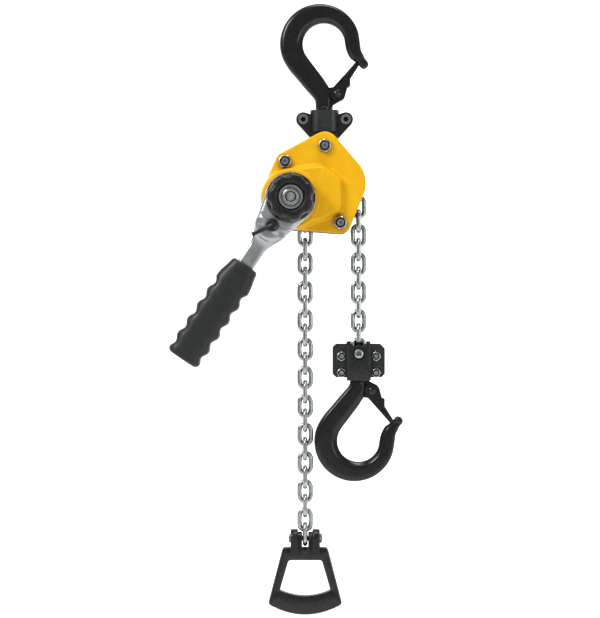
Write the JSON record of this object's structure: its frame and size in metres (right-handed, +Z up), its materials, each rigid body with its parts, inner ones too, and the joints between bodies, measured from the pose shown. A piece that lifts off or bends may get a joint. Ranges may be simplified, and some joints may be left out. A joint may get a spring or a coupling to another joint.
{
  "type": "lever chain hoist",
  "caption": "Compact ratchet lever hoist with a swivelling top hook, yellow geared housing, selector lever, load chain with bottom hook, and slack chain with end handle",
  "frame": {"origin": "the saddle of the top hook's bowl, where the hoist hangs", "axes": "X right, Z up, front with the handwheel toward -Y"},
  "size_m": [0.1958, 0.0845, 0.5156],
  "materials": {
    "yellow_paint": "satin yellow enamel",
    "black_forging": "black oxide forging",
    "black_paint": "satin black paint",
    "zinc": "bright zinc plate",
    "cast_lever": "polished cast metal",
    "black_rubber": "moulded black rubber",
    "black_plastic": "moulded black plastic",
    "steel": "machined steel",
    "bronze": "sintered bronze",
    "lining": "friction lining"
  },
  "bodies": {
    "top_hook_body": {"top_hook": "black_forging", "top_hook_rivet": "black_forging", "top_latch_spring": "steel"},
    "top_latch_body": {"top_latch": "black_forging"},
    "yoke": {"yoke_front": "black_paint", "yoke_rear": "black_paint", "yoke_screws": "black_paint"},
    "housing": {"side_plate_front": "steel", "side_plate_rear": "steel", "cover_front": "yellow_paint", "cover_rear": "yellow_paint", "stay_bolts": "zinc", "stay_nuts": "zinc", "stay_sleeves": "steel", "chain_guide": "steel", "sheave_bushes": "bronze", "shaft_bushes": "bronze", "pawl_pins": "steel", "pawl_springs": "steel"},
    "sheave": {"load_sheave": "steel", "load_gear": "steel", "sheave_chain": "zinc"},
    "drive": {"drive_shaft": "steel", "drive_pinion": "steel", "brake_hub": "steel", "brake_linings": "lining", "ratchet_disc": "steel", "change_gear": "steel", "handwheel": "black_plastic", "handwheel_disc": "zinc", "shaft_nut": "zinc"},
    "lever": {"lever_arm": "cast_lever", "lever_back_plate": "cast_lever", "lever_rivets": "cast_lever", "lever_grip": "black_rubber", "selector_spring": "steel"},
    "selector": {"selector_knob": "black_plastic", "selector_pawl": "steel"},
    "upper_pawl_body": {"upper_pawl": "steel"},
    "lower_pawl_body": {"lower_pawl": "steel"},
    "load_fall_1": {"load_chain_1": "zinc"},
    "load_fall_2": {"load_chain_2": "zinc"},
    "load_fall_3": {"load_chain_3": "zinc"},
    "bottom_block": {"bottom_block_front": "black_paint", "bottom_block_rear": "black_paint", "bottom_block_screws": "zinc", "bottom_block_nuts": "zinc", "bottom_chain_pin": "zinc"},
    "bottom_hook_body": {"bottom_hook": "black_forging", "bottom_hook_rivet": "black_forging", "bottom_latch_spring": "steel"},
    "bottom_latch_body": {"bottom_latch": "black_forging"},
    "slack_fall_1": {"slack_chain_1": "zinc"},
    "slack_fall_2": {"slack_chain_2": "zinc"},
    "slack_fall_3": {"slack_chain_3": "zinc"},
    "slack_fall_4": {"slack_chain_4": "zinc"},
    "handle": {"end_handle": "black_rubber", "end_handle_bolt": "zinc", "end_handle_nut": "zinc"}
  },
  "joints": [
    {"name": "top_latch_hinge", "type": "hinge", "parent": "top_hook_body", "child": "top_latch_body", "pos_m": [0.0111, 0, -0.0597], "axis": [0, -1, 0], "range_deg": [0, 40], "stiffness_Nm_per_rad": 0.02, "springref_deg": -17.19},
    {"name": "top_hook_swivel", "type": "hinge", "parent": "top_hook_body", "child": "yoke", "pos_m": [0, 0, -0.08], "axis": [0, 0, 1], "continuous": true},
    {"name": "yoke_tilt", "type": "hinge", "parent": "yoke", "child": "housing", "pos_m": [0, 0, -0.1043], "axis": [0, -1, 0], "range_deg": [-20, 20]},
    {"name": "sheave_turn", "type": "hinge", "parent": "housing", "child": "sheave", "pos_m": [0.0062, 0, -0.143], "axis": [0, -1, 0], "range_deg": [0, 30]},
    {"name": "drive_turn", "type": "hinge", "parent": "housing", "child": "drive", "pos_m": [-0.0283, 0, -0.149], "axis": [0, -1, 0], "range_deg": [-45, 0]},
    {"name": "lever_swing", "type": "hinge", "parent": "housing", "child": "lever", "pos_m": [-0.0283, 0, -0.149], "axis": [0, -1, 0], "continuous": true},
    {"name": "selector_turn", "type": "hinge", "parent": "lever", "child": "selector", "pos_m": [-0.04384, 0, -0.17205], "axis": [0, -1, 0], "range_deg": [0, 60]},
    {"name": "upper_pawl_lift", "type": "hinge", "parent": "housing", "child": "upper_pawl_body", "pos_m": [-0.0021, 0, -0.1306], "axis": [0, -1, 0], "range_deg": [0, 8], "stiffness_Nm_per_rad": 0.01, "springref_deg": -11.46},
    {"name": "lower_pawl_lift", "type": "hinge", "parent": "housing", "child": "lower_pawl_body", "pos_m": [0.0025, 0, -0.1575], "axis": [0, -1, 0], "range_deg": [-8, 0], "stiffness_Nm_per_rad": 0.01, "springref_deg": 11.46},
    {"name": "load_chain_slide", "type": "slide", "parent": "housing", "child": "load_fall_1", "axis": [0, 0, 1], "range_m": [0, 0.01201]},
    {"name": "load_chain_swing", "type": "hinge", "parent": "load_fall_1", "child": "load_fall_2", "pos_m": [0.02873, 0, -0.1994], "axis": [0, -1, 0], "range_deg": [0, 20]},
    {"name": "load_chain_sway", "type": "hinge", "parent": "load_fall_2", "child": "load_fall_3", "pos_m": [0.02873, 0, -0.2426], "axis": [1, 0, 0], "range_deg": [-15, 15]},
    {"name": "bottom_block_swing", "type": "hinge", "parent": "load_fall_3", "child": "bottom_block", "pos_m": [0.02873, 0, -0.2787], "axis": [0, -1, 0], "range_deg": [0, 20]},
    {"name": "bottom_hook_swivel", "type": "hinge", "parent": "bottom_block", "child": "bottom_hook_body", "pos_m": [0.02873, 0, -0.29], "axis": [0, 0, 1], "continuous": true},
    {"name": "bottom_latch_hinge", "type": "hinge", "parent": "bottom_hook_body", "child": "bottom_latch_body", "pos_m": [0.04013, 0, -0.3104], "axis": [0, -1, 0], "range_deg": [-40, 0], "stiffness_Nm_per_rad": 0.02, "springref_deg": 17.19},
    {"name": "slack_chain_slide", "type": "slide", "parent": "housing", "child": "slack_fall_1", "axis": [0, 0, 1], "range_m": [-0.01201, 0]},
    {"name": "slack_chain_swing", "type": "hinge", "parent": "slack_fall_1", "child": "slack_fall_2", "pos_m": [-0.01633, 0, -0.2234], "axis": [0, -1, 0], "range_deg": [-25, 0]},
    {"name": "slack_chain_sway", "type": "hinge", "parent": "slack_fall_2", "child": "slack_fall_3", "pos_m": [-0.01633, 0, -0.2906], "axis": [1, 0, 0], "range_deg": [-25, 25]},
    {"name": "slack_chain_curl", "type": "hinge", "parent": "slack_fall_3", "child": "slack_fall_4", "pos_m": [-0.01633, 0, -0.3674], "axis": [0, -1, 0], "range_deg": [-25, 0]},
    {"name": "end_handle_hinge", "type": "hinge", "parent": "slack_fall_4", "child": "handle", "pos_m": [-0.01633, 0, -0.4347], "axis": [1, 0, 0], "range_deg": [-60, 60]}
  ],
  "couplings": [
    {"joint": "drive_turn", "follows": "sheave_turn", "ratio": -1.5},
    {"joint": "load_chain_slide", "follows": "sheave_turn", "m_per_rad": 0.022918},
    {"joint": "slack_chain_slide", "follows": "sheave_turn", "m_per_rad": -0.022918}
  ]
}
